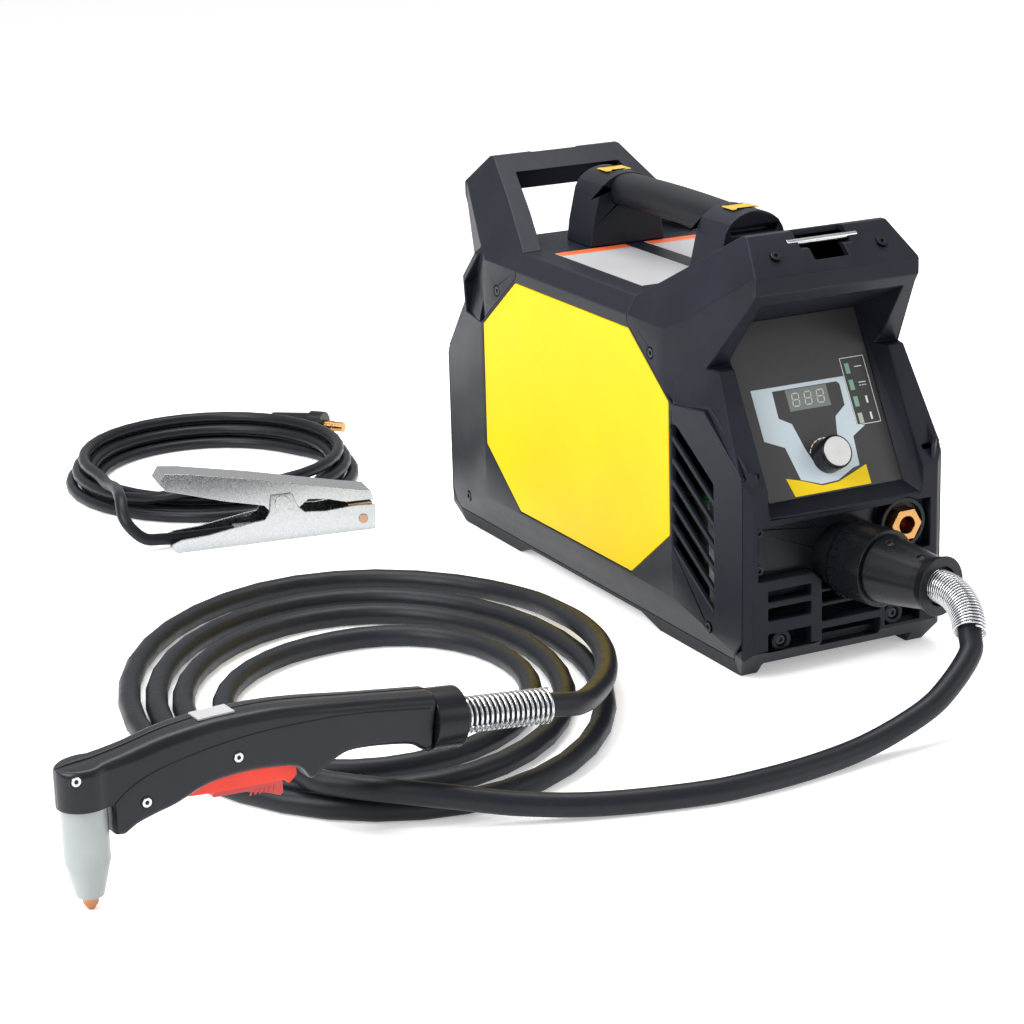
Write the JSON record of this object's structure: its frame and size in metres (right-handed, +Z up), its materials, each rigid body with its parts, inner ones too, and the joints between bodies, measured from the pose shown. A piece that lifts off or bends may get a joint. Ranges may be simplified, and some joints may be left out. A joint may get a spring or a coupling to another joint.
{
  "type": "plasma cutter unit",
  "caption": "Portable plasma cutting power unit with carrying handle, sloped control panel, coiled hand torch lead, and coiled work lead with spring clamp.",
  "frame": {"origin": "centre of the machine's underside at floor level", "axes": "+X to the right of someone facing the control panel, -Y out of the control panel end, +Z up"},
  "size_m": [0.7215, 1.0149, 0.3123],
  "materials": {
    "cover": "fine black texture",
    "base_tray": "moulded",
    "side_plate_left": "satin yellow",
    "side_plate_right": "satin yellow",
    "front_frame": "moulded, fine grain",
    "rear_frame": "moulded, fine grain",
    "tie_rods": "polished",
    "cabinet_screws": "black oxide",
    "handle": "moulded, fine grain",
    "handle_grip": "ribbed",
    "handle_badges": "plain",
    "labels": "plain film",
    "control_panel": "fine texture",
    "display_window": "smoked",
    "panel_lamps": "translucent",
    "display_board": "circuit board",
    "knob": "satin face on black skirt",
    "knob_shaft": "turned",
    "connector_plate": "moulded",
    "torch_receptacle": "moulded",
    "locking_ring": "moulded",
    "boot": "moulded",
    "boot_screws": "slotted",
    "work_socket": "turned",
    "socket_collar": "moulded",
    "rear_panel": "satin",
    "fan_guard": "wire",
    "fan_frame": "moulded",
    "fan_rotor": "moulded",
    "switch_bezel": "moulded",
    "switch_rocker": "moulded",
    "mains_gland": "moulded",
    "air_inlet": "turned",
    "heat_sink": "extruded",
    "main_board": "circuit board",
    "transformer": "laminated",
    "connector_spring": "bright wire",
    "torch_lead_run": "ribbed sheath",
    "torch_lead_coil": "ribbed sheath",
    "torch_lead_drop": "ribbed sheath",
    "torch_spring": "bright wire",
    "torch_half_front": "moulded",
    "torch_half_back": "moulded",
    "torch_screws": "slotted",
    "torch_tail_ring": "moulded",
    "trigger_lever": "moulded",
    "trigger_button": "moulded",
    "shield_cup": "moulded",
    "cutting_tip": "turned copper",
    "work_lead_start": "smooth sheath",
    "work_lead_coil": "smooth sheath",
    "work_lead_finish": "smooth sheath",
    "work_plug": "moulded",
    "plug_pin": "turned",
    "clamp_lower": "zinc plated",
    "clamp_upper": "zinc plated",
    "clamp_rivet": "plated",
    "clamp_spring": "bright wire",
    "jaw_lower": "copper",
    "jaw_upper": "copper"
  },
  "bodies": {
    "machine": {"cover": "cover", "base_tray": "base_tray", "side_plate_left": "side_plate_left", "side_plate_right": "side_plate_right", "front_frame": "front_frame", "rear_frame": "rear_frame", "tie_rods": "tie_rods", "cabinet_screws": "cabinet_screws", "handle": "handle", "handle_grip": "handle_grip", "handle_badges": "handle_badges", "labels": "labels", "control_panel": "control_panel", "display_window": "display_window", "panel_lamps": "panel_lamps", "display_board": "display_board", "connector_plate": "connector_plate", "torch_receptacle": "torch_receptacle", "boot": "boot", "boot_screws": "boot_screws", "work_socket": "work_socket", "socket_collar": "socket_collar", "rear_panel": "rear_panel", "fan_guard": "fan_guard", "fan_frame": "fan_frame", "switch_bezel": "switch_bezel", "mains_gland": "mains_gland", "air_inlet": "air_inlet", "heat_sink": "heat_sink", "main_board": "main_board", "transformer": "transformer", "connector_spring": "connector_spring", "torch_lead_run": "torch_lead_run", "torch_lead_coil": "torch_lead_coil", "torch_lead_drop": "torch_lead_drop", "torch_spring": "torch_spring", "torch_half_front": "torch_half_front", "torch_half_back": "torch_half_back", "torch_screws": "torch_screws", "torch_tail_ring": "torch_tail_ring", "shield_cup": "shield_cup", "cutting_tip": "cutting_tip", "work_lead_start": "work_lead_start", "work_lead_coil": "work_lead_coil", "work_lead_finish": "work_lead_finish", "work_plug": "work_plug", "plug_pin": "plug_pin", "clamp_lower": "clamp_lower", "clamp_rivet": "clamp_rivet", "clamp_spring": "clamp_spring", "jaw_lower": "jaw_lower"},
    "knob": {"knob": "knob", "knob_shaft": "knob_shaft"},
    "locking_ring": {"locking_ring": "locking_ring"},
    "fan_rotor": {"fan_rotor": "fan_rotor"},
    "switch_rocker": {"switch_rocker": "switch_rocker"},
    "trigger_lever": {"trigger_lever": "trigger_lever"},
    "trigger_button": {"trigger_button": "trigger_button"},
    "clamp_upper": {"clamp_upper": "clamp_upper", "jaw_upper": "jaw_upper"}
  },
  "joints": [
    {"name": "knob_turn", "type": "hinge", "parent": "machine", "child": "knob", "pos_m": [0, -0.21036, 0.14872], "axis": [0, -0.8738, 0.4863], "continuous": true},
    {"name": "locking_ring_turn", "type": "hinge", "parent": "machine", "child": "locking_ring", "pos_m": [0.006, -0.238, 0.079], "axis": [0.1908, -0.9816, 0], "range_deg": [0, 90]},
    {"name": "fan_spin", "type": "hinge", "parent": "machine", "child": "fan_rotor", "pos_m": [0, 0.205, 0.084], "axis": [0, 1, 0], "continuous": true},
    {"name": "switch_rock", "type": "hinge", "parent": "machine", "child": "switch_rocker", "pos_m": [0.034, 0.20219, 0.17375], "axis": [1, 0, 0], "range_deg": [0, 11]},
    {"name": "trigger_squeeze", "type": "hinge", "parent": "machine", "child": "trigger_lever", "pos_m": [-0.54824, -0.34802, 0.07], "axis": [0.0872, -0.9962, 0], "range_deg": [0, 3], "stiffness_Nm_per_rad": 0.6, "springref_deg": -5.73},
    {"name": "button_press", "type": "slide", "parent": "trigger_lever", "child": "trigger_button", "axis": [0, 0, 1], "range_m": [0, 0.0024], "stiffness_N_per_m": 400, "springref_m": -0.002},
    {"name": "clamp_open", "type": "hinge", "parent": "machine", "child": "clamp_upper", "pos_m": [-0.22817, 0.26911, 0.032], "axis": [-0.1392, -0.9903, 0], "range_deg": [0, 14], "stiffness_Nm_per_rad": 2.5, "springref_deg": -22.92, "deforming": ["clamp_spring"]}
  ]
}
